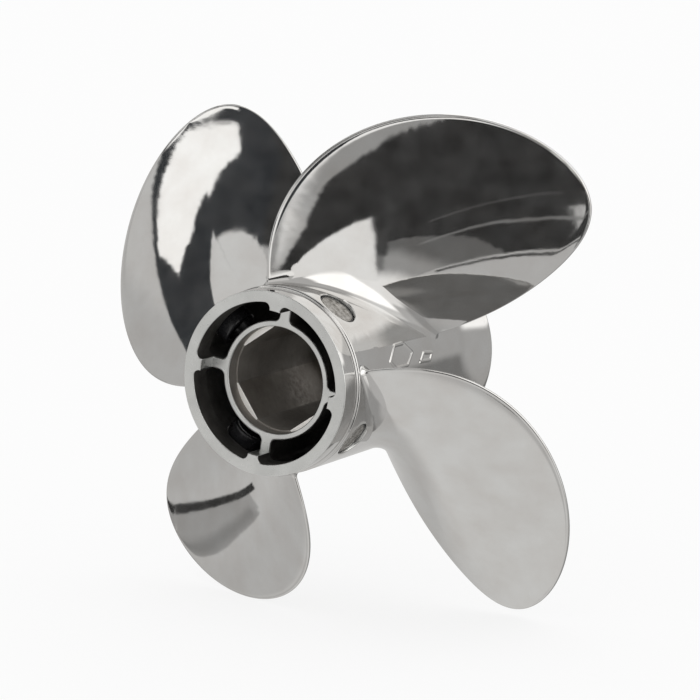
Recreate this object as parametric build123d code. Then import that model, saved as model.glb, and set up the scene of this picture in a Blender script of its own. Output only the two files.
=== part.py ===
"""Four-blade stainless outboard propeller with through-hub exhaust, vents and vent plugs.

Frame: the shaft axis is Y, -Y is the front (gearcase) end, +Z is up.
The origin is on the shaft axis in the plane of the inner hub's front face, which takes the
thrust washer and so sets the propeller's place on its shaft. The outer ring stands forward of it.
"""
import math
import os

from build123d import *

# ---------------------------------------------------------------- driving dimensions, mm
DIAMETER = 387.4            # 15.25 in propeller
TIP_R = DIAMETER / 2
BLADES = 4
STEP = 360 / BLADES         # angle from one blade, rib, vent or socket flat to the next

FRONT = -13.6               # machined front face of the outer ring
LAND_R = 57.0               # machined front land
LAND_END = 0.2
BEAD_R = 57.6               # small bead behind the land
BEAD_END = 1.2
GROOVE_R = 57.2
GROOVE_END = 2.0
BARREL_R = 58.2             # polished barrel that the blades stand on
BARREL_END = 167.4
FLARE_START = 124.0         # the aft end opens out in one long arc
FLARE_R = 62.9
FLARE_WALL = 3.4
EDGE_BREAK = 0.5

LIP_R = 50.0                # machined lip round the exhaust passages at the front
LIP_END = 1.2
PASSAGE_R = 53.2            # as-cast outer wall of the passages behind the lip
PASSAGE_CORNER = 3.6

HUB_BACK = 132.4
HUB_R = 37.0
WASHER_R = 45.3             # counterbore for the thrust washer, cut across the ribs
RECESS_R = 33.2             # round mouth of the drive socket
RECESS_DEPTH = 9.0
SOCKET_R = 32.3             # round corners of the drive socket
SOCKET_HALF = 29.7          # axis to flat
SOCKET_ANGLE = 33.0         # first flat's normal
SOCKET_END = 112.4
SHAFT_HOLE_R = 17.0
NUT_WALL_END = 120.4
NUT_R = 26.0                # aft recess for the nut

RIB_THICK = 7.4
RIB_ANGLE = 80.0            # first rib

VENT_ANGLE = 52.3           # first vent
VENT_Y = 16.4
VENT_R = 12.2
VENT_CHAMFER = 0.5
VENT_SEAT = 2.2             # depth of the plug's outer face below the barrel
PLUG_GAP = 0.3
PLUG_R = VENT_R - PLUG_GAP
PLUG_INNER_R = 43.5         # distance from the axis to the plug's inner end
PLUG_CHAMFER = 1.2
PLUG_WALL = 3.0
PLUG_HOLLOW = 5.0
CAP_R = 10.9                # stainless disc let into the plug's face
CAP_THICK = 1.6
CAP_DISH = 0.4
CAP_DISH_R = 9.0
CAP_CLEAR = 0.1

LAW_R = 57.5                # radius where the blade laws start
EDGE_THICK = 2.6            # blade thickness at its edges
ROOT_THICK = 12.0
TIP_THICK = 3.0
CROWN_ANGLE = 27.0          # degrees from mid chord in which the section thins most
CAMBER = 5.0
FILLET = 11.0               # root fillet at mid chord
FILLET_EDGE = 2.5           # and at the leading and trailing edges
FILLET_ANGLE = 32.0

MARK_HEIGHT = 0.7           # two plain raised foundry marks on the barrel
MARK_LINE = 2.2

os.makedirs("parts", exist_ok=True)


# ---------------------------------------------------------------- blade laws
def span(r):
    """0 at the barrel, 1 at the blade's largest radius."""
    return (r - LAW_R) / (TIP_R - LAW_R)


def mid_angle(s):
    """Angle of the middle of the chord, degrees: the skew."""
    return 59.1 + 2.1 * s - 9.6 * s**2 - 9.3 * s**3


def half_angle(t, s):
    """Half of the chord's angle, degrees. t goes evenly round the tip."""
    return (1 - t) * (40.0 + 22.1 * s - 16.1 * s**2 + 1.2 * s**3)


def mid_station(s):
    """Axial place of the middle of the chord: the rake and the skew together."""
    return 55.2 + 31.9 * s + 23.4 * s**2


def advance(s):
    """Axial advance per radian, the pitch over two pi."""
    return (438.0 - 14.0 * s - 18.0 * s**2) / (2 * math.pi)


def polar(r, degrees, y):
    a = math.radians(degrees)
    return Vector(r * math.cos(a), y, r * math.sin(a))


def blade_point(r, degrees, side):
    """A point on the front (side -1) or back (side +1) of the first blade."""
    s = span(r)
    off = degrees - mid_angle(s)
    crown = math.exp(-(off / CROWN_ANGLE)**2)
    thickest = TIP_THICK + (ROOT_THICK - TIP_THICK) * max(0.0, 1 - s)**1.6
    thick = EDGE_THICK + (thickest - EDGE_THICK) * crown
    arch = CAMBER * crown * (1 - s**2)
    fillet_r = FILLET_EDGE + (FILLET - FILLET_EDGE) * math.exp(-(off / FILLET_ANGLE)**4)
    run = max(0.0, (BARREL_R + fillet_r - r) / fillet_r)
    spread = fillet_r * (0.5 * run**2 + 0.2 * run**4)
    lean = math.hypot(1, advance(s) / r)
    y = mid_station(s) - advance(s) * math.radians(off) - arch
    return polar(r, degrees, y + side * (thick / 2 + spread) * lean)


def blade_face(side):
    radii = [55, 58.2, 60, 62, 64.5, 67, 70, 74, 80, 88, 98, 110, 124, 138, 152, 166, 180, 192, 200]
    angles = [6 + 6 * i for i in range(19)]
    grid = [[blade_point(r, a, side) for a in angles] for r in radii]
    return Face.make_surface_from_array_of_points(grid, tol=0.02)


def blade_outline():
    """The blade seen along the shaft: one curve up the leading edge, over the tip and back down."""
    steps = 14
    lead = []
    trail = []
    for i in range(steps + 1):
        t = -0.03 + 1.03 * i / steps
        s = 1 - (1 - t)**2
        r = LAW_R + s * (TIP_R - LAW_R)
        lead.append(polar(r, mid_angle(s) + half_angle(t, s), 0))
        trail.append(polar(r, mid_angle(s) - half_angle(t, s), 0))
    edge = Edge.make_spline(lead + trail[::-1][1:])
    root = Edge.make_line(trail[0], lead[0])
    return Face(Wire([edge, root]))


def make_blade():
    reach = 260
    outline = Pos(0, GROOVE_END + EDGE_BREAK, 0) * blade_outline()
    prism = Solid.extrude(outline, Vector(0, reach, 0))
    prism = largest(prism - along_y(BARREL_R, -10, 2 * reach))
    for side in (-1, 1):
        pieces = prism.split(blade_face(side), keep=Keep.ALL).solids()
        pieces.sort(key=lambda p: p.center().Y)
        prism = pieces[-1] if side < 0 else pieces[0]
    return prism


# ---------------------------------------------------------------- helpers
def along_y(radius, y0, y1):
    """A cylinder on the shaft axis."""
    return Pos(0, (y0 + y1) / 2, 0) * Rot(90, 0, 0) * Cylinder(radius, y1 - y0)


def turned(points):
    """A ring turned about the shaft axis from (radius, y) corners."""
    profile = make_face(Polyline(*[(r, y, 0) for r, y in points], close=True))
    return revolve(profile, Axis.Y, 360)


def largest(shape):
    return max(shape.solids(), key=lambda p: p.volume)


def about_shaft(shape, degrees):
    """Turn a shape about the shaft so that +X goes towards +Z."""
    return shape.rotate(Axis((0, 0, 0), (0, -1, 0)), degrees)


def radial(shape, degrees, y):
    """Place a shape that is drawn along +Z from the axis so that it points out at an angle."""
    return about_shaft(Pos(0, y, 0) * Rot(0, 90, 0) * shape, degrees)


def save(shape, name):
    shape.label = name
    export_step(shape, f"parts/{name}.step")
    print(f"{name:14s} {shape.volume / 1000:9.2f} cm3")


# ---------------------------------------------------------------- barrel
def flare_arc(r_start, r_end, y_start, y_end):
    """Points of an arc that leaves the barrel line smoothly and opens out."""
    n = 6
    rise = r_end - r_start
    return [(r_start + rise * (i / n)**2, y_start + (y_end - y_start) * i / n) for i in range(1, n + 1)]


def barrel_profile():
    inner_r = FLARE_R - FLARE_WALL
    with BuildLine() as section:
        outside = Polyline(
            (LIP_R, FRONT), (LAND_R - EDGE_BREAK, FRONT), (LAND_R, FRONT + EDGE_BREAK),
            (LAND_R, LAND_END), (BEAD_R, LAND_END), (BEAD_R, BEAD_END), (GROOVE_R, BEAD_END),
            (GROOVE_R, GROOVE_END), (BARREL_R - EDGE_BREAK, GROOVE_END),
            (BARREL_R, GROOVE_END + EDGE_BREAK), (BARREL_R, FLARE_START))
        flare = Spline(outside @ 1, *flare_arc(BARREL_R, FLARE_R, FLARE_START, BARREL_END - 1))
        lip = Polyline(
            flare @ 1, (FLARE_R - 0.6, BARREL_END), (inner_r + 0.6, BARREL_END),
            (inner_r, BARREL_END - 0.8))
        throat_points = flare_arc(PASSAGE_R, inner_r, HUB_BACK, BARREL_END - 0.8)[::-1]
        throat = Spline(*throat_points, (PASSAGE_R, HUB_BACK))
        Polyline(throat @ 1, (PASSAGE_R, LIP_END), (LIP_R, LIP_END), (LIP_R, FRONT))
    return section.line


def raised_marks():
    """Two plain low outlines, a lozenge and a wedge, standing on the barrel."""
    shell = along_y(BARREL_R + MARK_HEIGHT, 30, 110) - along_y(BARREL_R - 0.5, 29, 111)
    lozenge = [(40, 10), (50, 20), (62, 20), (72, 12), (63, 4), (47, 4)]
    wedge = [(76, 2), (93, 10), (98, 7), (91, 1)]
    marks = []
    for corners in (lozenge, wedge):
        flat = [(y, BARREL_R * math.radians(a)) for y, a in corners]
        ring = make_face(Polyline(*flat, close=True))
        hole = offset(ring, -MARK_LINE)
        block = extrude(ring - hole, 12)
        # sketch X runs along the shaft, sketch Y round the barrel
        upright = Plane(origin=(BARREL_R - 6, 0, 0), x_dir=(0, 1, 0), z_dir=(1, 0, 0))
        marks.append(upright.location * block & shell)
    return marks


def vent_tools():
    """The four vent holes with their chamfered rims."""
    tools = []
    for i in range(BLADES):
        hole = Pos(0, 0, BARREL_R) * Cylinder(VENT_R, 30)
        rim = Pos(0, 0, BARREL_R - VENT_CHAMFER + 2) * Cone(VENT_R, VENT_R + 4, 4)
        tools.append(radial(hole + rim, VENT_ANGLE + i * STEP, VENT_Y))
    return tools


def make_barrel():
    body = revolve(make_face(barrel_profile()), Axis.Y, 360)
    for tool in vent_tools():
        body = body - tool
    for mark in raised_marks():
        body = body + mark
    return largest(body)


# ---------------------------------------------------------------- inner hub and ribs
def make_inner_hub():
    body = along_y(HUB_R, 0, HUB_BACK)
    body -= along_y(RECESS_R, -1, RECESS_DEPTH)
    side = 2 * SOCKET_HALF
    square = about_shaft(Pos(0, SOCKET_END / 2, 0) * Box(side, SOCKET_END, side), SOCKET_ANGLE)
    body -= square & along_y(SOCKET_R, 0, SOCKET_END)
    body -= along_y(SHAFT_HOLE_R, SOCKET_END - 1, HUB_BACK + 1)
    body -= along_y(NUT_R, NUT_WALL_END, HUB_BACK + 1)
    return largest(body)


def passage_sketch(outer_r):
    """One exhaust passage in section: a ring sector with round corners, beside the first rib."""
    ring = Circle(outer_r) - Circle(HUB_R)
    half = RIB_THICK / 2
    reach = 2 * outer_r
    wedge = make_face(Polyline((half, half), (reach, half), (reach, reach), (half, reach), close=True))
    sector = ring & wedge
    return fillet(sector.vertices(), PASSAGE_CORNER)


def rib_stretch(outer_r, y0, y1):
    """All four ribs over one length: the ring between hub and barrel less the passages."""
    flat = Circle(outer_r) - Circle(HUB_R)
    for i in range(BLADES):
        flat -= Rot(0, 0, i * STEP) * passage_sketch(outer_r)
    return Pos(0, y0, 0) * Rot(90, 0, 0) * extrude(flat, -(y1 - y0))


def make_ribs():
    """Ribs from the inner hub to the barrel, cut back in front for the thrust washer."""
    ribs = rib_stretch(LIP_R, FRONT, LIP_END) + rib_stretch(PASSAGE_R, LIP_END, HUB_BACK)
    ribs -= along_y(WASHER_R, FRONT - 1, 0)
    pieces = [piece for piece in ribs.solids() if piece.volume > 5000]
    pieces.sort(key=lambda p: math.degrees(math.atan2(p.center().Z, p.center().X)) % 360)
    return [about_shaft(piece, RIB_ANGLE) for piece in pieces]


# ---------------------------------------------------------------- vent plugs
def make_plug():
    """Black moulded plug with a round seat for its stainless disc, drawn along +Z."""
    top = BARREL_R - VENT_SEAT
    height = top - PLUG_INNER_R
    body = Pos(0, 0, PLUG_INNER_R + height / 2) * Cylinder(PLUG_R, height)
    body = chamfer(body.edges().group_by(Axis.Z)[0], PLUG_CHAMFER)
    seat = Pos(0, 0, top) * Cylinder(CAP_R + CAP_CLEAR, 2 * CAP_THICK)
    hollow = Pos(0, 0, PLUG_INNER_R) * Cylinder(PLUG_R - PLUG_WALL, 2 * PLUG_HOLLOW)
    return body - seat - hollow


def make_cap():
    """Turned stainless disc with a shallow dish, drawn along +Z."""
    top = BARREL_R - VENT_SEAT
    disc = Pos(0, 0, top - CAP_THICK / 2) * Cylinder(CAP_R, CAP_THICK)
    ball_r = (CAP_DISH_R**2 + CAP_DISH**2) / (2 * CAP_DISH)
    return disc - Pos(0, 0, top + ball_r - CAP_DISH) * Sphere(ball_r)


# ---------------------------------------------------------------- build
save(make_barrel(), "barrel")
save(make_inner_hub(), "inner_hub")

for number, rib in enumerate(make_ribs(), start=1):
    save(rib, f"rib_{number}")

first_blade = make_blade()
for number in range(BLADES):
    save(about_shaft(first_blade, number * STEP), f"blade_{number + 1}")

plug = make_plug()
cap = make_cap()
for number in range(BLADES):
    angle = VENT_ANGLE + number * STEP
    save(radial(plug, angle, VENT_Y), f"vent_plug_{number + 1}")
    save(radial(cap, angle, VENT_Y), f"vent_disc_{number + 1}")
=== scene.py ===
"""Polished four-blade stainless outboard propeller, seen from its gearcase end."""
import math

import bmesh
import bpy
from mathutils import Matrix, Vector


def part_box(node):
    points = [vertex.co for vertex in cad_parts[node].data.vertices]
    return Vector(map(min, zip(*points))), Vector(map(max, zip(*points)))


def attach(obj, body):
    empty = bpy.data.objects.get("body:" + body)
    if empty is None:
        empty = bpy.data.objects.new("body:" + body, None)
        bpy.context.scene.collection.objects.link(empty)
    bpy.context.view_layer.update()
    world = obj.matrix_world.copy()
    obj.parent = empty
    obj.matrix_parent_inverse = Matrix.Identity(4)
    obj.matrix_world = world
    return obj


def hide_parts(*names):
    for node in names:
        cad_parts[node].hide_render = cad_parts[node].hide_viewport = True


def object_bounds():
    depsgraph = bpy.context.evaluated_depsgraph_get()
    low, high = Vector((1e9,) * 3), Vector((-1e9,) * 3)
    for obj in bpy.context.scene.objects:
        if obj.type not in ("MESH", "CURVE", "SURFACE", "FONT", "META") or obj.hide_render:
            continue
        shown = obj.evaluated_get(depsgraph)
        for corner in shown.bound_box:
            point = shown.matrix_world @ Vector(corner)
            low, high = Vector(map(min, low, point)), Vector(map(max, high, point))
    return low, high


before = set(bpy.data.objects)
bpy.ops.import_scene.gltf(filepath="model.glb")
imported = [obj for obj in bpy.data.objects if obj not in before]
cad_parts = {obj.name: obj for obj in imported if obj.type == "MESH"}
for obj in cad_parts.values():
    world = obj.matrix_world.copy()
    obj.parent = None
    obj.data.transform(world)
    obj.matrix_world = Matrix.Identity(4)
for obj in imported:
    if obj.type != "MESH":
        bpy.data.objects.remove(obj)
cad_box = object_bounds()

MM = 0.001
SECTORS = 4
BODY = "propeller"

# ---------------------------------------------------------------- sizes, mm
barrel_lo, barrel_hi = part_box("barrel")
_, hub_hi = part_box("inner_hub")
FRONT = barrel_lo[1] / MM
BARREL_END = barrel_hi[1] / MM
FLARE_R = barrel_hi[0] / MM
HUB_R = hub_hi[0] / MM
HUB_BACK = hub_hi[1] / MM
TIP_R = 193.7

LAND_R, LAND_END = 57.0, 0.2            # plain land behind the front face
BEAD_R = 57.6
GROOVE_R, GROOVE_END = 57.2, 2.0
BARREL_R = 58.2
FLARE_START = 124.0
FLARE_WALL = 3.4
LIP_R, LIP_END = 50.0, 1.2              # opening in the front ring, and where its lip ends
PASSAGE_R = 53.2                        # outer wall of the exhaust passages
CORNER = 3.6                            # round corners of the ribs and the opening
WASHER_R = 45.3                         # room for the thrust washer at each rib
RECESS_R, RECESS_DEPTH = 33.2, 9.0
SOCKET_R, SOCKET_HALF, SOCKET_ANGLE, SOCKET_END = 32.3, 29.7, 33.0, 112.4
SHAFT_HOLE_R, NUT_WALL_END, NUT_R = 17.0, 120.4, 26.0
RIB_HALF, RIB_ANGLE = 3.7, 80.0
VENT_ANGLE, VENT_Y, VENT_R, VENT_RIM = 52.3, 16.4, 12.2, 12.7
VENT_SEAT, PLUG_R, PLUG_INNER_R, DISC_R = 2.2, 11.9, 43.5, 10.9

MARK_HEIGHT, MARK_LINE, MARK_CORNER = 0.6, 2.2, 1.6
MARKS = [                               # corners as y in mm and degrees from +X towards +Z
    [(40, 10), (50, 20), (62, 20), (72, 12), (63, 4), (47, 4)],
    [(77, 4), (84, 11), (97, 9), (92, 3)],
]

LAW_R = 57.5                            # where the blade's laws start
EDGE = 2.6
ROOT_THICK, TIP_THICK, CAMBER = 12.0, 3.0, 5.0
FILLET, FILLET_EDGE, FILLET_ANGLE = 11.0, 3.2, 32.0

SHARP_ANGLE = 50                        # degrees between faces that meet in a sharp edge


# ---------------------------------------------------------------- mesh helpers
def make_piece(name, verts, faces, materials, slots):
    """A smooth mesh object from points in mm, with a material slot for each face."""
    mesh = bpy.data.meshes.new(name)
    mesh.from_pydata([Vector(v) * MM for v in verts], [], faces)
    mesh.validate()
    for material in materials:
        mesh.materials.append(material)
    for poly, slot in zip(mesh.polygons, slots):
        poly.use_smooth = True
        poly.material_index = slot
    mesh.update()
    mesh.set_sharp_from_angle(angle=math.radians(SHARP_ANGLE))
    obj = bpy.data.objects.new(name, mesh)
    bpy.context.collection.objects.link(obj)
    return obj


def polar(r, degrees, y):
    """A point at a radius, an angle from +X towards +Z, and a place along the shaft."""
    a = math.radians(degrees)
    return (r * math.cos(a), y, r * math.sin(a))


def settle(obj, body, slot, *nodes):
    """Says which body a piece rides on and hides the CAD nodes that it stands for. Its finish, slot, is not
    used.
    """
    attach(obj, body)
    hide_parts(*nodes)


class Shell:
    """Collects vertices and quads, with a material number for each quad."""

    def __init__(self):
        self.verts, self.faces, self.slots = [], [], []

    def row(self, points):
        start = len(self.verts)
        self.verts.extend(points)
        return list(range(start, len(self.verts)))

    def strip(self, low, high, slot=0):
        """Quads between two closed rows with equally many points."""
        n = len(low)
        for i in range(n):
            j = (i + 1) % n
            self.faces.append([low[i], low[j], high[j], high[i]])
            self.slots.append(slot)

    def loft(self, loops, last=None, slot=0):
        """Joins closed loops of points by strips, from a row that is there already if one is given."""
        for points in loops:
            row = self.row(points)
            if last:
                self.strip(last, row, slot)
            last = row
        return last

    def piece(self, name, materials):
        return make_piece(name, self.verts, self.faces, materials, self.slots)


def outline_solid(name, outer, holes, y0, y1, bevel, materials):
    """A plate with round-edged outline and holes, extruded along the shaft."""
    curve = bpy.data.curves.new(name, "CURVE")
    curve.dimensions = "2D"
    curve.fill_mode = "BOTH"
    for loop in [outer] + holes:
        spline = curve.splines.new("POLY")
        spline.points.add(len(loop) - 1)
        for point, (x, z) in zip(spline.points, loop):
            point.co = (x * MM, z * MM, 0, 1)
        spline.use_cyclic_u = True
    curve.extrude = ((y1 - y0) / 2 - bevel) * MM
    curve.bevel_depth = bevel * MM
    curve.bevel_resolution = 3
    curve.offset = -bevel * MM
    flat = bpy.data.objects.new(name + "_outline", curve)
    bpy.context.collection.objects.link(flat)
    mesh = bpy.data.meshes.new_from_object(flat)
    bpy.data.objects.remove(flat)
    # the curve's X, Y and Z become X, Z and -Y
    turn = Matrix(((1, 0, 0, 0), (0, 0, -1, 0), (0, 1, 0, 0), (0, 0, 0, 1)))
    mesh.transform(Matrix.Translation((0, (y0 + y1) / 2 * MM, 0)) @ turn)
    mesh.name = name
    mesh.materials.clear()
    for material in materials:
        mesh.materials.append(material)
    for poly in mesh.polygons:
        poly.use_smooth = abs(poly.normal.y) < 0.999
    obj = bpy.data.objects.new(name, mesh)
    bpy.context.collection.objects.link(obj)
    return obj


def weld(name, parts):
    """Joins mesh objects into one piece."""
    with bpy.context.temp_override(
            active_object=parts[0], selected_editable_objects=parts, selected_objects=parts):
        bpy.ops.object.join()
    parts[0].name = name
    parts[0].data.name = name
    return parts[0]


def weld_last_points(obj, count, distance):
    """Merges those of the last points that lie within a distance of each other."""
    shape = bmesh.new()
    shape.from_mesh(obj.data)
    shape.verts.ensure_lookup_table()
    bmesh.ops.remove_doubles(shape, verts=shape.verts[-count:], dist=distance)
    shape.to_mesh(obj.data)
    shape.free()


def arc(cx, cz, r, a0, a1, n):
    """Points of an arc, degrees, both ends included."""
    steps = [math.radians(a0 + (a1 - a0) * i / n) for i in range(n + 1)]
    return [(cx + r * math.cos(a), cz + r * math.sin(a)) for a in steps]


def turned_2d(points, degrees):
    """Points in the XZ plane, turned about the shaft."""
    c, s = math.cos(math.radians(degrees)), math.sin(math.radians(degrees))
    return [(x * c - z * s, x * s + z * c) for x, z in points]


# ---------------------------------------------------------------- materials
def new_material(name, colour, metallic, roughness):
    mat = bpy.data.materials.new(name)
    mat.use_nodes = True
    shader = mat.node_tree.nodes["Principled BSDF"]
    shader.inputs["Base Color"].default_value = (*colour, 1)
    shader.inputs["Metallic"].default_value = metallic
    shader.inputs["Roughness"].default_value = roughness
    return mat, shader


def node(mat, kind, **inputs):
    """A new node, with values for its inputs by name."""
    made = mat.node_tree.nodes.new(kind)
    for key, value in inputs.items():
        made.inputs[key.replace("_", " ")].default_value = value
    return made


def link(mat, source, target):
    mat.node_tree.links.new(source, target)


NOISE_LOW, NOISE_HIGH = 0.3, 0.7        # the range that most of a noise lies in


def noise(mat, scale, detail):
    """Noise in the object's own metres."""
    place = mat.node_tree.nodes.new("ShaderNodeTexCoord")
    tex = node(mat, "ShaderNodeTexNoise", Scale=scale, Detail=detail)
    link(mat, place.outputs["Object"], tex.inputs["Vector"])
    return tex.outputs["Fac"]


def remap(mat, value, low, high):
    """Noise turned into a number between two limits."""
    made = mat.node_tree.nodes.new("ShaderNodeMapRange")
    limits = {"From Min": NOISE_LOW, "From Max": NOISE_HIGH, "To Min": low, "To Max": high}
    for key, number in limits.items():
        made.inputs[key].default_value = number
    link(mat, value, made.inputs["Value"])
    return made.outputs["Result"]


def tint(mat, value, dark, light):
    """Noise turned into a colour between two others."""
    ramp = mat.node_tree.nodes.new("ShaderNodeValToRGB")
    ramp.color_ramp.elements[0].position = NOISE_LOW
    ramp.color_ramp.elements[1].position = NOISE_HIGH
    ramp.color_ramp.elements[0].color = (*dark, 1)
    ramp.color_ramp.elements[1].color = (*light, 1)
    link(mat, value, ramp.inputs["Fac"])
    return ramp.outputs["Color"]


def bump(mat, shader, layers):
    """Stacks bump layers, each (height, distance in metres)."""
    normal = None
    for height, distance in layers:
        made = node(mat, "ShaderNodeBump", Strength=1.0, Distance=distance)
        link(mat, height, made.inputs["Height"])
        if normal:
            link(mat, normal, made.inputs["Normal"])
        normal = made.outputs["Normal"]
    link(mat, normal, shader.inputs["Normal"])


def polished_steel():
    """Hand-polished mirror: a little cloudy and dusty, with faint waves."""
    mat, shader = new_material("polished_steel", (0.60, 0.595, 0.585), 1.0, 0.06)
    cloud = noise(mat, 45, 6)
    link(mat, tint(mat, cloud, (0.575, 0.563, 0.55), (0.63, 0.63, 0.625)), shader.inputs["Base Color"])
    link(mat, remap(mat, noise(mat, 25, 8), 0.02, 0.07), shader.inputs["Roughness"])
    link(mat, remap(mat, noise(mat, 70, 10), 0.955, 1.0), shader.inputs["Metallic"])
    waves, ripples, grain = noise(mat, 14, 1), noise(mat, 60, 2), noise(mat, 1500, 2)
    bump(mat, shader, [(waves, 0.0006), (ripples, 0.00006), (grain, 0.000004)])
    return mat


def machined_steel(name, dark, light):
    mat, shader = new_material(name, light, 1.0, 0.3)
    grain = noise(mat, 700, 3)
    link(mat, tint(mat, noise(mat, 60, 8), dark, light), shader.inputs["Base Color"])
    link(mat, remap(mat, grain, 0.26, 0.40), shader.inputs["Roughness"])
    bump(mat, shader, [(grain, 0.00002)])
    return mat


def cast_steel(name, dark, light, metallic=0.5, depth=1.0):
    mat, shader = new_material(name, dark, metallic, 0.5)
    grain = noise(mat, 420, 6)
    link(mat, tint(mat, noise(mat, 60, 8), dark, light), shader.inputs["Base Color"])
    link(mat, remap(mat, grain, 0.4, 0.62), shader.inputs["Roughness"])
    bump(mat, shader, [(noise(mat, 90, 3), 0.0006 * depth), (grain, 0.0002 * depth)])
    return mat


def turned_steel():
    """Steel with fine turning rings about the piece's own axis."""
    mat, shader = new_material("turned_steel", (0.5, 0.49, 0.48), 1.0, 0.25)
    shader.inputs["Anisotropic"].default_value = 0.85
    tangent = mat.node_tree.nodes.new("ShaderNodeTangent")
    tangent.direction_type = "RADIAL"
    tangent.axis = "Z"
    link(mat, tangent.outputs["Tangent"], shader.inputs["Tangent"])
    streaks = tint(mat, noise(mat, 320, 3), (0.15, 0.14, 0.125), (0.50, 0.485, 0.465))
    link(mat, streaks, shader.inputs["Base Color"])
    link(mat, remap(mat, noise(mat, 500, 3), 0.2, 0.4), shader.inputs["Roughness"])
    return mat


def black_plastic():
    mat, shader = new_material("black_plastic", (0.012, 0.012, 0.013), 0.0, 0.22)
    fine = noise(mat, 350, 3)
    link(mat, tint(mat, fine, (0.009, 0.009, 0.010), (0.016, 0.016, 0.017)), shader.inputs["Base Color"])
    link(mat, remap(mat, fine, 0.16, 0.3), shader.inputs["Roughness"])
    bump(mat, shader, [(fine, 0.00003)])
    return mat


POLISHED = polished_steel()
MACHINED = machined_steel("machined_steel", (0.57, 0.575, 0.565), (0.68, 0.685, 0.675))
# near-white and barely metallic: painted light on the socket's machined shoulder, which the recess shades
SHOULDER_PAINTED_LIGHT = cast_steel("machined_shoulder_painted_light", (0.86, 0.83, 0.78), (0.98, 0.96, 0.92), 0.2, 0.1)
# near-black: partly the dark oxide of the cast passages, partly painted shade deep in them
PASSAGE_OXIDE_AND_SHADE = cast_steel("passage_oxide_and_painted_shade", (0.014, 0.013, 0.012), (0.08, 0.076, 0.07))
BORE = cast_steel("bore_casting", (0.30, 0.275, 0.25), (0.42, 0.395, 0.365), 0.9, 0.12)
# a darker copy of the bore's cast steel: painted shade on the socket's round corners and on the recess wall
BORE_PAINTED_SHADE = cast_steel("bore_painted_shade", (0.20, 0.185, 0.168), (0.30, 0.28, 0.256), 0.6, 0.12)
TURNED = turned_steel()
PLASTIC = black_plastic()


# ---------------------------------------------------------------- barrel
COLUMNS = 40                            # columns in a quarter turn
SIDE_STEPS = 10
BAND_STEPS, BAND_EASE = 6, 0.8          # rows from a vent out to its patch, closer near the vent
PATCH_FRONT, PATCH_BACK = 2.95, 32.0    # the stretch of wall that holds the vents
COLUMN_ANGLES = [VENT_ANGLE - 45 + i * 90 / COLUMNS for i in range(SECTORS * COLUMNS)]


def ring(r, y):
    return [polar(r, a, y) for a in COLUMN_ANGLES]


def hole_point(r, centre, vent_r, phi, depth=0.0):
    """A point of a vent's edge where it meets the cylinder of radius r, less a depth."""
    t = vent_r * math.cos(phi)
    height = math.sqrt(r * r - t * t) - depth
    a = math.radians(centre)
    x = height * math.cos(a) - t * math.sin(a)
    z = height * math.sin(a) + t * math.cos(a)
    return (x, VENT_Y + vent_r * math.sin(phi), z)


def vent_band(shell, r, front, back, hole_r, slot):
    """The wall round the four vents, between two rows. Returns each hole's edge, angles and centre."""
    sides = []
    for k in range(SECTORS):
        angle = VENT_ANGLE - 45 + 90 * k
        ys = [PATCH_FRONT + (PATCH_BACK - PATCH_FRONT) * i / SIDE_STEPS for i in range(1, SIDE_STEPS)]
        sides.append(shell.row([polar(r, angle, y) for y in ys]))
    edges = []
    for k in range(SECTORS):
        first = k * COLUMNS
        around = [(first + i) % len(front) for i in range(COLUMNS + 1)]
        loop = [front[i] for i in around] + sides[(k + 1) % SECTORS]
        loop += [back[i] for i in reversed(around)] + sides[k][::-1]
        centre = VENT_ANGLE + 90 * k
        places = []
        for index in loop:
            x, y, z = shell.verts[index]
            off = (math.degrees(math.atan2(z, x)) - centre + 180) % 360 - 180
            places.append((r * math.radians(off), y - VENT_Y))
        phis = [math.atan2(v, u) for u, v in places]
        loops = []
        for step in range(1, BAND_STEPS):
            f = 1 - (step / BAND_STEPS)**BAND_EASE
            points = []
            for (u, v), phi in zip(places, phis):
                hu, hv = hole_r * math.cos(phi), hole_r * math.sin(phi)
                pu, pv = hu + (u - hu) * f, hv + (v - hv) * f
                points.append(polar(r, centre + math.degrees(pu / r), VENT_Y + pv))
            loops.append(points)
        loops.append([hole_point(r, centre, hole_r, phi) for phi in phis])
        edges.append((shell.loft(loops, loop, slot), phis, centre))
    return edges


def flare(r0, r1, y0, y1, n):
    """Radii and places of a wall that opens out along a parabola, without its first point."""
    return [(r0 + (r1 - r0) * (i / n)**2, y0 + (y1 - y0) * i / n) for i in range(1, n + 1)]


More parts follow.
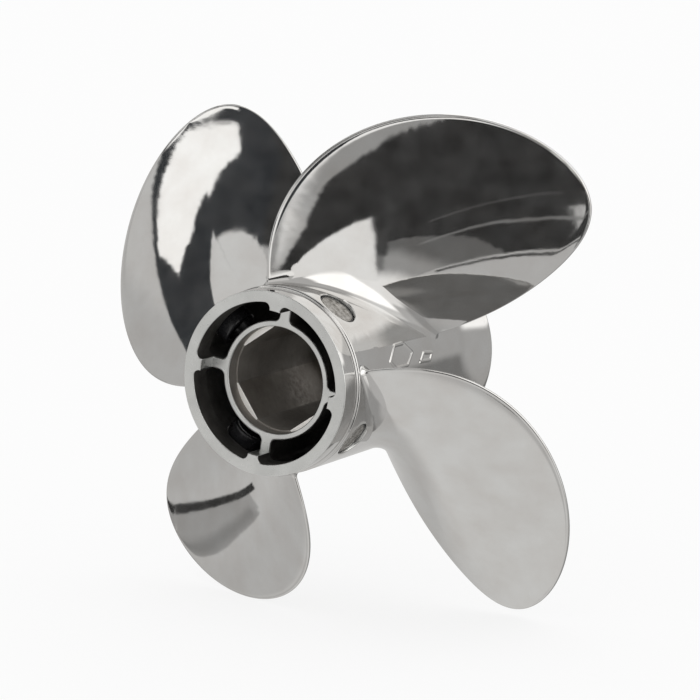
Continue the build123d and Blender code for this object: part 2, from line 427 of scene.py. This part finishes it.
def make_barrel():
    """The barrel from its front land, over the shoulder and the flared tail, and back up inside."""
    shell = Shell()
    shoulder = [
        (LAND_R - 0.5, LAND_END), (LAND_R + 0.1, LAND_END),
        (BEAD_R - 0.25, LAND_END + 0.06), (BEAD_R - 0.06, LAND_END + 0.25), (BEAD_R, LAND_END + 0.5),
        (BEAD_R - 0.06, LAND_END + 0.75), (BEAD_R - 0.25, LAND_END + 1.0),
        (GROOVE_R, GROOVE_END - 0.5), (GROOVE_R + 0.02, GROOVE_END - 0.25),
        (GROOVE_R + 0.25, GROOVE_END - 0.02),
        (BARREL_R - 0.4, GROOVE_END + 0.12), (BARREL_R - 0.14, GROOVE_END + 0.36),
        (BARREL_R - 0.02, GROOVE_END + 0.66), (BARREL_R, PATCH_FRONT)]
    front = shell.loft([ring(r, y) for r, y in shoulder])
    back = shell.row(ring(BARREL_R, PATCH_BACK))
    outer = vent_band(shell, BARREL_R, front, back, VENT_RIM + 0.05, 0)

    throat_r = FLARE_R - FLARE_WALL
    outside = [(BARREL_R, y) for y in (50, 75, 100, FLARE_START)]
    outside += flare(BARREL_R, FLARE_R, FLARE_START, BARREL_END - 1.0, 16)
    lip_mid = (FLARE_R + throat_r) / 2
    outside += [
        (FLARE_R, BARREL_END - 0.5), (FLARE_R - 0.25, BARREL_END - 0.12), (FLARE_R - 0.7, BARREL_END),
        (lip_mid, BARREL_END), (throat_r + 0.7, BARREL_END), (throat_r + 0.2, BARREL_END - 0.2)]
    inside = flare(PASSAGE_R, throat_r, HUB_BACK, BARREL_END - 0.8, 12)[::-1]
    inside += [(PASSAGE_R, y) for y in (HUB_BACK, 100, 65, PATCH_BACK)]
    end = shell.loft([ring(r, y) for r, y in outside], back)
    inner_back = shell.loft([ring(r, y) for r, y in inside], end, 1)
    inner_front = shell.row(ring(PASSAGE_R, PATCH_FRONT))
    # the inner wall is built like the outer one, then its faces are turned to look inwards
    start = len(shell.faces)
    inner = vent_band(shell, PASSAGE_R, inner_front, inner_back, VENT_R, 1)
    shell.faces[start:] = [face[::-1] for face in shell.faces[start:]]
    shell.loft([ring(PASSAGE_R, LIP_END), ring(LIP_R + 1.5, LIP_END)], inner_front, 1)

    # each vent's wall, from its rounded rim inwards: radius, depth and material
    steps = [(VENT_RIM - 0.05, 0.03, 0), (VENT_R + 0.05, 0.47, 0), (VENT_R, 0.6, 2), (VENT_R, 3.5, 2)]
    for (rim, phis, centre), (hole, _, _) in zip(outer, inner):
        last = rim
        for vent_r, depth, slot in steps:
            row = shell.row([hole_point(BARREL_R, centre, vent_r, phi, depth) for phi in phis])
            shell.strip(last, row, slot)
            last = row
        shell.strip(last, hole, 2)
    # the passages' inner wall is near-black: dark oxide and painted shade
    return shell.piece("barrel_skin", [POLISHED, PASSAGE_OXIDE_AND_SHADE, MACHINED])


def ring_opening():
    """The front ring's opening: the washer's circle at each rib, a wider one in between."""
    reach = LIP_R - CORNER
    side = RIB_HALF + CORNER
    centre_x = math.sqrt(reach**2 - side**2)
    lean = math.degrees(math.atan2(side, centre_x))
    tab = math.degrees(math.asin(RIB_HALF / WASHER_R))
    loop = []
    for k in range(SECTORS):
        here = RIB_ANGLE + 90 * k
        loop += turned_2d(arc(0, 0, WASHER_R, -tab, tab, 8), here)
        loop += turned_2d(arc(centre_x, side, CORNER, -90, lean, 8), here)
        loop += turned_2d(arc(0, 0, LIP_R, lean, 90 - lean, 40)[1:-1], here)
        loop += turned_2d(arc(centre_x, -side, CORNER, -lean, 90, 8), here + 90)
    return loop


def spider_outline():
    """The inner hub with its four ribs, in section."""
    side = RIB_HALF + CORNER
    root_x = math.sqrt((HUB_R + CORNER)**2 - side**2)
    end_x = math.sqrt((PASSAGE_R - CORNER)**2 - side**2)
    root_lean = math.degrees(math.atan2(side, root_x))
    end_lean = math.degrees(math.atan2(side, end_x))
    buried = PASSAGE_R + 0.6
    loop = []
    for k in range(SECTORS):
        here = RIB_ANGLE + 90 * k
        half = arc(root_x, side, CORNER, -180 + root_lean, -90, 8)
        half += arc(end_x, side, CORNER, -90, end_lean, 8)
        half += arc(0, 0, buried, end_lean, end_lean, 1)[:1]
        mirror = [(x, -z) for x, z in half]
        loop += turned_2d(mirror, here)
        loop += turned_2d(half[::-1], here)
        loop += turned_2d(arc(0, 0, HUB_R, root_lean, 90 - root_lean, 30)[1:-1], here)
    return loop


def socket_outline():
    """The drive socket: a square whose corners are cut off by a circle."""
    half = math.degrees(math.acos(SOCKET_HALF / SOCKET_R))
    loop = []
    for k in range(SECTORS):
        loop += arc(0, 0, SOCKET_R, SOCKET_ANGLE + 90 * k + half, SOCKET_ANGLE + 90 * (k + 1) - half, 16)
    return loop


def circle(r, n=160):
    return arc(0, 0, r, 0, 360, n)[:-1]


def paint_by_depth(obj, rules):
    """Gives faces the material slot of the first rule that holds for their radius and y in mm."""
    for poly in obj.data.polygons:
        x, y, z = (c / MM for c in poly.center)
        r = math.hypot(x, z)
        for index, rule in enumerate(rules):
            if rule(r, y):
                poly.material_index = index
                break


def rounded_path(corners, radius, steps=5):
    """A closed path through the corners with each corner rounded off."""
    path = []
    for i, corner in enumerate(corners):
        here = Vector(corner)
        before, after = Vector(corners[i - 1]), Vector(corners[(i + 1) % len(corners)])
        start = here + (before - here).normalized() * radius
        end = here + (after - here).normalized() * radius
        for k in range(steps + 1):
            f = k / steps
            path.append(start.lerp(here, f).lerp(here.lerp(end, f), f))
    return path


def make_mark(corners):
    """A low raised outline on the barrel, from (y, angle) corners in mm and degrees."""
    flat = [(y, BARREL_R * math.radians(a)) for y, a in corners]
    path = rounded_path(flat, MARK_CORNER)
    shell = Shell()
    half = MARK_LINE / 2
    profile = [
        (-half - 0.5, -0.1), (-half - 0.3, 0.0), (-half - 0.1, 0.08),
        (-half + 0.15, 0.3), (-half + 0.4, 0.5), (-half + 0.75, MARK_HEIGHT)]
    profile += [(-offset, height) for offset, height in profile[::-1]]
    rows = [[] for _ in profile]
    turn = sum(a.x * b.y - a.y * b.x for a, b in zip(path, path[1:] + path[:1]))
    for i, here in enumerate(path):
        along = (path[(i + 1) % len(path)] - path[i - 1]).normalized()
        inward = Vector((-along.y, along.x)) * (1 if turn > 0 else -1)
        for row, (offset, height) in zip(rows, profile):
            place = here + inward * (offset + half)
            row.append(polar(BARREL_R + height, math.degrees(place.y / BARREL_R), place.x))
    shell.loft(rows)
    if turn > 0:
        shell.faces = [face[::-1] for face in shell.faces]
    return shell.piece("mark", [POLISHED])


barrel = make_barrel()
front_ring = outline_solid("front_ring", circle(LAND_R, 240), [ring_opening()], FRONT, LIP_END + 0.3, 0.6,
                           [MACHINED, POLISHED, PASSAGE_OXIDE_AND_SHADE])
paint_by_depth(front_ring, [
    lambda r, y: y < FRONT + 0.7 or r < WASHER_R + 0.3,
    lambda r, y: r > LAND_R - 1,
    # the opening's walls: dark oxide and painted shade
    lambda r, y: True])
marks = [make_mark(corners) for corners in MARKS]
weld("barrel_skin", [barrel, front_ring] + marks)
settle(barrel, BODY, "polished_steel", "barrel")

FLAT_HALF_ANGLE = 23                    # from a flat's middle to the socket's round corner, degrees
SLEEVE_R = RECESS_R + 0.3               # the socket's pieces overlap the hub a little

spider = outline_solid("spider", spider_outline(), [circle(RECESS_R)], 0, HUB_BACK, 1.1,
                       [MACHINED, PASSAGE_OXIDE_AND_SHADE, BORE_PAINTED_SHADE])
paint_by_depth(spider, [
    lambda r, y: y < 1.2,
    # walls in the passages: dark oxide and painted shade
    lambda r, y: r > RECESS_R + 2,
    # the recess wall: painted shade
    lambda r, y: True])
sleeve = outline_solid("socket", circle(SLEEVE_R), [socket_outline()], RECESS_DEPTH, SOCKET_END, 0.3,
                       [BORE, SHOULDER_PAINTED_LIGHT, BORE_PAINTED_SHADE])
# the socket's front shoulder gets the painted light, the rest the bore's cast steel
paint_by_depth(sleeve, [lambda r, y: y > RECESS_DEPTH + 0.4, lambda r, y: True])
# the socket's round corners get the darker copy of the bore: painted shade
for poly in sleeve.data.polygons:
    turned = math.degrees(math.atan2(poly.center.z, poly.center.x)) - SOCKET_ANGLE
    if abs((turned + 45) % 90 - 45) > FLAT_HALF_ANGLE:
        poly.material_index = 2
floor_plate = outline_solid("socket_floor", circle(SLEEVE_R), [circle(SHAFT_HOLE_R)],
                            SOCKET_END - 0.1, NUT_WALL_END, 0.5, [BORE])
nut_ring = outline_solid("nut_recess", circle(SLEEVE_R), [circle(NUT_R)], NUT_WALL_END - 0.1,
                         HUB_BACK - 0.5, 0.5, [BORE])
spider = weld("inner_hub_and_ribs", [spider, sleeve, floor_plate, nut_ring])
settle(spider, BODY, "cast_steel", "inner_hub", "rib_1", "rib_2", "rib_3", "rib_4")


# ---------------------------------------------------------------- blades
def mid_angle(s):
    """Degrees of mid chord. s is 0 near the barrel and 1 at the blade's largest radius."""
    return 59.1 + 2.1 * s - 9.6 * s**2 - 9.3 * s**3


def half_angle(t, s):
    """Half the blade's width in degrees, from the root (t of 0) to the tip (t of 1)."""
    return (1 - t) * (40.0 + 22.1 * s - 16.1 * s**2 + 1.2 * s**3)


def mid_station(s):
    """Place of mid chord along the shaft."""
    return 55.2 + 31.9 * s + 23.4 * s**2


def advance(s):
    """The pitch, in mm for each radian of turn."""
    return (438.0 - 14.0 * s - 18.0 * s**2) / (2 * math.pi)


def span(r):
    return (r - LAW_R) / (TIP_R - LAW_R)


def span_at(t):
    """The span s at the outline's t, which makes the tip round."""
    return 1 - (1 - t)**2


def outline_t(r):
    return 1 - math.sqrt(1 - span(r))


def at_radius(point, r):
    """The point moved straight out from the shaft, or in, to a radius."""
    flat = math.hypot(point.x, point.z)
    return Vector((point.x * r / flat, point.y, point.z * r / flat))


def edge_point(t, side):
    """The blade's outline at mid thickness. side is 1 for the leading edge, -1 for the trailing."""
    s = span_at(t)
    r = LAW_R + s * (TIP_R - LAW_R)
    off = side * half_angle(t, s)
    return Vector(polar(r, mid_angle(s) + off, mid_station(s) - advance(s) * math.radians(off)))


ROLL_DEPTH = 0.4                        # how far the front face falls back along its edges,
ROLL_SHARE = 0.08                       # over this share of half the chord


def surface_point(r, degrees, c, side):
    """A point of the front (-1) or back (1) face. c runs from -1 to 1 across the chord."""
    s = span(r)
    swell = 1 - c * c
    thickest = TIP_THICK + (ROOT_THICK - TIP_THICK) * max(0.0, 1 - s)**1.6
    half = (EDGE + (thickest - EDGE) * swell) / 2
    if side < 0:
        reach = min(1.0, s * 6, (1 - s) * 6) if c > 0 else max(0.0, 1 - abs(s - 0.7) / 0.3)
        half -= ROLL_DEPTH * max(0.0, 1 - (1 - abs(c)) / ROLL_SHARE)**2 * reach
    arch = CAMBER * swell * (1 - s * s)
    slope = advance(s) / r
    lean = math.hypot(1, slope)
    y = mid_station(s) - advance(s) * math.radians(degrees - mid_angle(s)) - arch
    return Vector(polar(r, degrees + side * math.degrees(half * slope / lean / r), y + side * half / lean))


def inset_edge(t, side, inset):
    """Radius and angle of the outline moved in by the edge's rounding, and the way outwards."""
    step = 1e-3
    t1 = min(t, 1 - step)
    along = (edge_point(t1 + step, side) - edge_point(t1 - step, side)).normalized()
    if t > 1 - step:
        along = Vector(polar(1, mid_angle(1) + 90 * -side, 0))
    s = span_at(t)
    here = edge_point(t, side)
    radial = Vector((here.x, 0, here.z)).normalized()
    around = Vector((-radial.z, -advance(s) / math.hypot(here.x, here.z), radial.x)).normalized()
    normal = radial.cross(around)
    out = along.cross(normal).normalized() * side
    if out.dot(around) * side < 0 and t < 0.9:
        out = -out
    if t >= 0.9 and out.dot(radial) < 0:
        out = -out
    moved = here - out * inset
    return math.hypot(moved.x, moved.z), math.degrees(math.atan2(moved.z, moved.x)), out


CHORD_STEPS, EDGE_STEPS, SPAN_STEPS = 64, 14, 64
EDGE_CROWDING = 0.6                     # how much closer the points lie near the edges
LAST_T = 0.9995                         # the other loops are spread evenly up to this
TIP_WELD = 0.02                         # points of the last loop this close become one
FILLET_ANGLES = [90, 84, 78, 70, 60, 50, 40, 30, 20, 10, 0]
FILLET_MARGIN = 1.5                     # from the fillet's top to the first free loop
FREE_RISE = 14                          # over which the loops stop lying on a cylinder


def blade_loop(t, r_fixed=None):
    """One closed loop round the blade: front face, trailing edge, back face, leading edge."""
    lead_r, lead_a, lead_out = inset_edge(t, 1, EDGE / 2)
    trail_r, trail_a, trail_out = inset_edge(t, -1, EDGE / 2)
    if trail_a > lead_a + 180:
        trail_a -= 360
    front, back = [], []
    for i in range(CHORD_STEPS + 1):
        f = i / CHORD_STEPS
        g = (1 - math.cos(math.pi * f)) / 2 * EDGE_CROWDING + f * (1 - EDGE_CROWDING)
        r = lead_r + (trail_r - lead_r) * g
        if r_fixed:
            r = r_fixed
        a = lead_a + (trail_a - lead_a) * g
        c = 1 - 2 * g
        front.append(surface_point(r, a, c, -1))
        back.append(surface_point(r, a, c, 1))
    loop = list(front)
    for ends, out in (((front[-1], back[-1]), trail_out), ((back[0], front[0]), lead_out)):
        middle = (ends[0] + ends[1]) / 2
        across = (ends[0] - ends[1]) / 2
        turn = []
        for k in range(1, EDGE_STEPS):
            b = math.pi * k / EDGE_STEPS
            point = middle + across * math.cos(b) + out * EDGE / 2 * math.sin(b)
            if r_fixed:
                point = at_radius(point, r_fixed)
            turn.append(point)
        loop += turn
        if ends[0] is front[-1]:
            loop += back[::-1]
    return loop


def mixed_loop(radii):
    """A loop round the blade with each point at its own radius."""
    loops = {}
    points = []
    for i, r in enumerate(radii):
        key = round(r, 3)
        if key not in loops:
            loops[key] = blade_loop(outline_t(r), r)
        points.append(loops[key][i])
    return points


def fillet_rows():
    """Loops from the barrel's surface up the root fillet, and the fillet's size at each point."""
    rows = []
    base = blade_loop(outline_t(BARREL_R), BARREL_R)
    count = len(base)
    sizes, aways = [], []
    for i in range(count):
        p, q = base[(i + 1) % count], base[i - 1]
        r = math.hypot(base[i].x, base[i].z)
        radial = Vector((base[i].x, 0, base[i].z)) / r
        along = (p - q).normalized()
        away = along.cross(radial).normalized()
        aways.append(away)
        off = math.degrees(math.atan2(base[i].z, base[i].x)) - mid_angle(span(BARREL_R))
        sizes.append(FILLET_EDGE + (FILLET - FILLET_EDGE) * math.exp(-(off / FILLET_ANGLE)**4))
    centre = sum(base, Vector()) / count
    outward = sum((base[i] - centre).dot(aways[i]) for i in range(count))
    if outward < 0:
        aways = [-a for a in aways]
    for beta in FILLET_ANGLES:
        rise, reach = 1 - math.sin(math.radians(beta)), 1 - math.cos(math.radians(beta))
        radii = [BARREL_R + size * rise for size in sizes]
        row = []
        for p, away, size, r in zip(mixed_loop(radii), aways, sizes, radii):
            row.append(at_radius(p + away * size * reach, r))
        rows.append(row)
    return rows, sizes


def make_blade_mesh():
    """One blade, open at its root. Also returns how many points its last loop has."""
    shell = Shell()
    rows, sizes = fillet_rows()
    top = BARREL_R + FILLET
    for f in (0.35, 0.7):
        rows.append(mixed_loop([BARREL_R + size + (top + FILLET_MARGIN - BARREL_R - size) * f
                                for size in sizes]))
    t_start = outline_t(top + FILLET_MARGIN)
    for k in range(SPAN_STEPS):
        f = k / SPAN_STEPS
        t = t_start + (LAST_T - t_start) * f
        r = LAW_R + span_at(t) * (TIP_R - LAW_R)
        blend = min(1.0, max(0.0, (r - top - FILLET_MARGIN) / FREE_RISE))
        loose = blade_loop(t)
        if blend < 1:
            fixed = blade_loop(t, r)
            loose = [a.lerp(b, blend) for a, b in zip(fixed, loose)]
        rows.append(loose)
    rows.append(blade_loop(1))              # shut: its two halves meet at the tip
    shell.loft(rows)
    return shell, len(rows[-1])


def spin(degrees):
    """The turn about the shaft that takes +X towards +Z."""
    return Matrix.Rotation(-math.radians(degrees), 4, "Y")


blade_shell, tip_count = make_blade_mesh()
for number in range(SECTORS):
    piece = blade_shell.piece(f"blade_{number + 1}_skin", [POLISHED])
    weld_last_points(piece, tip_count, TIP_WELD * MM)
    piece.data.transform(spin(90 * number))
    settle(piece, BODY, "polished_steel", f"blade_{number + 1}")


# ---------------------------------------------------------------- vent plugs and discs
def turned_piece(name, profile, materials, n=96):
    """A piece turned about its own Z, from (radius, height) points."""
    turns = [2 * math.pi * i / n for i in range(n)]
    shell = Shell()
    shell.loft([[(r * math.cos(turn), r * math.sin(turn), h) for turn in turns] for r, h in profile])
    return shell.piece(name, materials)


PLUG_TOP = BARREL_R - VENT_SEAT
CENTRE_R = 0.01                         # where a turned profile starts
DISH_R, DISH_DEPTH = 9.0, 0.4           # the disc's shallow dish
plug_profile = [
    (CENTRE_R, PLUG_INNER_R + 5), (PLUG_R - 3.2, PLUG_INNER_R + 5), (PLUG_R - 3.0, PLUG_INNER_R + 4.8),
    (PLUG_R - 3.0, PLUG_INNER_R + 0.3), (PLUG_R - 2.7, PLUG_INNER_R), (PLUG_R - 1.2, PLUG_INNER_R),
    (PLUG_R - 0.5, PLUG_INNER_R + 0.25), (PLUG_R - 0.1, PLUG_INNER_R + 0.8), (PLUG_R, PLUG_INNER_R + 1.5),
    (PLUG_R, PLUG_TOP - 0.5), (PLUG_R - 0.15, PLUG_TOP - 0.12), (PLUG_R - 0.5, PLUG_TOP),
    (DISC_R + 0.25, PLUG_TOP), (DISC_R + 0.1, PLUG_TOP - 0.15), (DISC_R + 0.1, PLUG_TOP - 1.6)]
disc_profile = [(CENTRE_R, PLUG_TOP - DISH_DEPTH)]
disc_profile += [(r, PLUG_TOP - DISH_DEPTH * (1 - (r / DISH_R)**2)) for r in (2, 4, 6, 7.5, 8.5, 9)]
disc_profile += [
    (DISC_R - 0.3, PLUG_TOP), (DISC_R - 0.08, PLUG_TOP - 0.08), (DISC_R, PLUG_TOP - 0.3),
    (DISC_R, PLUG_TOP - 1.55)]
for number in range(SECTORS):
    angle = VENT_ANGLE + 90 * number
    pose = Matrix.Translation((0, VENT_Y * MM, 0)) @ spin(angle) @ Matrix.Rotation(math.pi / 2, 4, "Y")
    plug = turned_piece(f"vent_plug_{number + 1}_body", plug_profile, [PLASTIC])
    plug.matrix_world = pose
    settle(plug, f"plug_{number + 1}", "black_plastic", f"vent_plug_{number + 1}")
    disc = turned_piece(f"vent_disc_{number + 1}_face", disc_profile, [TURNED])
    disc.matrix_world = pose
    settle(disc, f"plug_{number + 1}", "turned_steel", f"vent_disc_{number + 1}")


# ---------------------------------------------------------------- stage, light and camera
def make_floor():
    """A pale floor just below the object, which the steel doesn't mirror."""
    size = 14.0
    level = cad_box[0].z - 0.0002
    corners = [(-size, -size, level), (size, -size, level), (size, size, level), (-size, size, level)]
    plane = bpy.data.meshes.new("studio_floor")
    plane.from_pydata(corners, [], [(0, 1, 2, 3)])
    obj = bpy.data.objects.new("studio_floor", plane)
    bpy.context.collection.objects.link(obj)
    mat, shader = new_material("studio_floor", (0.16, 0.16, 0.16), 0.0, 0.9)
    shader.inputs["Specular IOR Level"].default_value = 0.0
    shader.inputs["Emission Color"].default_value = (1, 1, 1, 1)
    shader.inputs["Emission Strength"].default_value = 0.82
    plane.materials.append(mat)
    obj.visible_glossy = False


# What the steel mirrors, in degrees. Azimuth 0 is towards -Y and 90 towards +X. Each row is a patch, which
# lies over the rows before it: first and last azimuth, lowest and highest elevation in its middle, softness
# of its edges, rise of the elevations for each degree of azimuth, and brightness.
STUDIO = [
    (-181, 181, -91, 91, 2.0, 0, 0.62),           # pale room
    (-70, 24, -42, 34, 3.0, 0, 0.75),             # tent, front
    (4, 24, 8, 60, 5.0, 0, 0.42),
    (4, 60, 27.2, 60, 2.2, -0.35, 1.30),          # bright wall above the camera
    (-138, -70, -18, -2, 5.0, 0, 0.68),           # tent, left
    (-103.5, -79, -15.9, -9.0, 0.3, 0.0, 0.42),
    (-104.5, -79, -12.5, -7.2, 0.3, 0.17, 0.44),
    (-102, -79, -15.2, -12.5, 1.2, 0.0, 0.31),
    (-108, -79.5, -8.1, -6.2, 0.2, 0.17, 0.04),   # gap in it
    (-80, 4, 32.4, 64, 0.4, 0, 0.045),            # dark room above the tent
    (3, 34, 43.5, 67, 0.6, 0, 0.045),
    (-60.3, -33, 34.7, 45.6, 0.3, 0.07, 1.45),    # softbox
    (-33.5, -13.5, 38.3, 58, 0.3, 0.25, 1.45),
    (-36, -6, 46.2, 62, 0.3, -0.12, 0.045),
    (-64, -44, 43, 50, 0.3, 0.3, 0.045),
    (-100, -36, 57.2, 99, 0.5, -0.15, 0.85),      # ceiling
    (-36, 30, 63.5, 99, 0.5, 0.28, 0.85),
    (20.6, 60, -24, 16, 0.5, 0, 0.035),           # dark room behind the camera
    (20.6, 60, 10, 22.2, 0.5, -0.3, 0.035),
    (23.8, 60, -42, -23, 0.5, 0, 0.035),
    (10, 22.4, -42, -22, 0.5, 0, 0.60),
    (36, 66, -99, -4.0, 1.0, 2.65, 0.17),         # grey floor beside it
    (52, 66, -40, -14, 3.0, 0, 0.42),
    (62, 100, -41, -6, 4.0, 0, 1.2),
    (100, 132, -41, -6, 6.0, 0, 0.65),
    (40, 66, -11.6, 66, 0.4, -1.25, 1.12),        # big window on the right
    (44, 54, -11.0, -6.7, 0.5, -1.25, 0.06),
    (53.5, 60, -19.6, -16.3, 1.0, -1.25, 0.20),
    (60, 112, -6, 66, 5.0, 0, 1.8),
    (112, 128, -6, 42, 6.0, 0, 0.95),
    (112, 128, 42, 66, 5.0, 0, 0.60),
    (22, 48, -25.5, -24.4, 0.25, 0.3, 0.26),      # seams of a black cloth
    (24, 42, -16.5, -15.9, 0.2, 0.35, 0.12),
    (-181, 90, -91, -38.6, 0.4, 0, 0.64),         # table
    (24, 55, -40.9, -39.6, 0.2, 0, 0.07),
    (-110, 15, -91, -41, 9.0, 0, 0.84),
    (90, 181, -72, -30, 9.0, 0, 0.42),
    (128, 146, 9, 26, 3.0, 0, 1.5),
    (126, 146, -32, 9, 3.0, 0, 0.52),
    (146, 181, -54, 14, 4.0, 0, 0.24),
    (144, 158, -7, 14, 3.0, 0, 0.50),
    (-172, -152, 2, 50, 1.0, 0, 1.8),             # window and flag that only the back of the blades sees
    (-150, -138, -5, 60, 1.0, 0, 0.08),
]


WARM, COOL = (1.0, 0.99, 0.97, 1), (0.93, 1.0, 1.09, 1)
PLAIN_WHITE = 0.98


def make_world():
    """A soft studio for the steel to mirror. The camera and the floor see it plain white."""
    world = bpy.data.worlds.new("studio")
    bpy.context.scene.world = world
    world.use_nodes = True
    tree = world.node_tree
    tree.nodes.clear()

    def calculate(op, a, b=None):
        made = tree.nodes.new("ShaderNodeMath")
        made.operation = op
        for socket, value in zip(made.inputs, (a, b)):
            if isinstance(value, (int, float)):
                socket.default_value = value
            elif value is not None:
                tree.links.new(value, socket)
        return made.outputs[0]

    def beyond(value, edge, soft):
        """0 below an edge and 1 above it, with a smooth change."""
        made = tree.nodes.new("ShaderNodeMapRange")
        made.interpolation_type = "SMOOTHSTEP"
        made.inputs["From Min"].default_value = edge - soft
        made.inputs["From Max"].default_value = edge + soft
        tree.links.new(value, made.inputs["Value"])
        return made.outputs["Result"]

    place = tree.nodes.new("ShaderNodeTexCoord")
    xyz = tree.nodes.new("ShaderNodeSeparateXYZ")
    tree.links.new(place.outputs["Generated"], xyz.inputs[0])
    around = calculate("ARCTAN2", xyz.outputs[0], calculate("MULTIPLY", xyz.outputs[1], -1))
    azimuth = calculate("MULTIPLY", around, 180 / math.pi)
    elevation = calculate("MULTIPLY", calculate("ARCSINE", xyz.outputs[2]), 180 / math.pi)
    level = calculate("ADD", 1.0, 0.0)
    for az0, az1, el0, el1, soft, tilt, brightness in STUDIO:
        height = elevation
        if tilt:
            rise = calculate("MULTIPLY", calculate("SUBTRACT", azimuth, (az0 + az1) / 2), tilt)
            height = calculate("SUBTRACT", elevation, rise)
        across = calculate("SUBTRACT", beyond(azimuth, az0, soft), beyond(azimuth, az1, soft))
        up = calculate("SUBTRACT", beyond(height, el0, soft), beyond(height, el1, soft))
        inside = calculate("MULTIPLY", across, up)
        change = calculate("MULTIPLY", calculate("SUBTRACT", brightness, level), inside)
        level = calculate("ADD", level, change)
    mirrored = tree.nodes.new("ShaderNodeBackground")
    colour = tree.nodes.new("ShaderNodeMix")
    colour.data_type = "RGBA"
    colour.inputs[6].default_value = WARM
    colour.inputs[7].default_value = COOL
    dark = calculate("SUBTRACT", 1, beyond(level, 0.15, 0.1))
    upper_left = calculate("SUBTRACT", beyond(elevation, 28, 3), beyond(azimuth, 12, 6))
    tree.links.new(calculate("MULTIPLY", dark, upper_left), colour.inputs[0])
    tree.links.new(colour.outputs[2], mirrored.inputs["Color"])
    tree.links.new(level, mirrored.inputs["Strength"])
    plain = tree.nodes.new("ShaderNodeBackground")
    plain.inputs["Color"].default_value = (1, 1, 1, 1)
    plain.inputs["Strength"].default_value = PLAIN_WHITE
    paths = tree.nodes.new("ShaderNodeLightPath")
    mix = tree.nodes.new("ShaderNodeMixShader")
    tree.links.new(paths.outputs["Is Glossy Ray"], mix.inputs[0])
    tree.links.new(plain.outputs[0], mix.inputs[1])
    tree.links.new(mirrored.outputs[0], mix.inputs[2])
    out = tree.nodes.new("ShaderNodeOutputWorld")
    tree.links.new(mix.outputs[0], out.inputs["Surface"])
    world.cycles.sampling_method = "NONE"


CAMERA_AZIMUTH, CAMERA_ELEVATION = 29.57, 9.19
CAMERA_TARGET = Vector((60.3, FRONT, 25.5))     # mm, in the plane of the front face
CAMERA_DISTANCE = 1.9246                        # metres
CAMERA_LENS, CAMERA_SENSOR = 166.4, 36.0


def make_camera():
    """A long lens, to the right of the shaft and a little above it."""
    azimuth, elevation = math.radians(CAMERA_AZIMUTH), math.radians(CAMERA_ELEVATION)
    back = Vector((math.sin(azimuth) * math.cos(elevation), -math.cos(azimuth) * math.cos(elevation),
                   math.sin(elevation)))
    data = bpy.data.cameras.new("camera")
    data.sensor_width = CAMERA_SENSOR
    data.lens = CAMERA_LENS
    data.clip_end = 100
    camera = bpy.data.objects.new("camera", data)
    bpy.context.collection.objects.link(camera)
    target = CAMERA_TARGET * MM
    camera.location = target + back * CAMERA_DISTANCE
    camera.rotation_mode = "QUATERNION"
    camera.rotation_quaternion = (-back).to_track_quat("-Z", "Y")
    bpy.context.scene.camera = camera


make_floor()
make_world()
make_camera()
bpy.context.scene.view_settings.view_transform = "Standard"
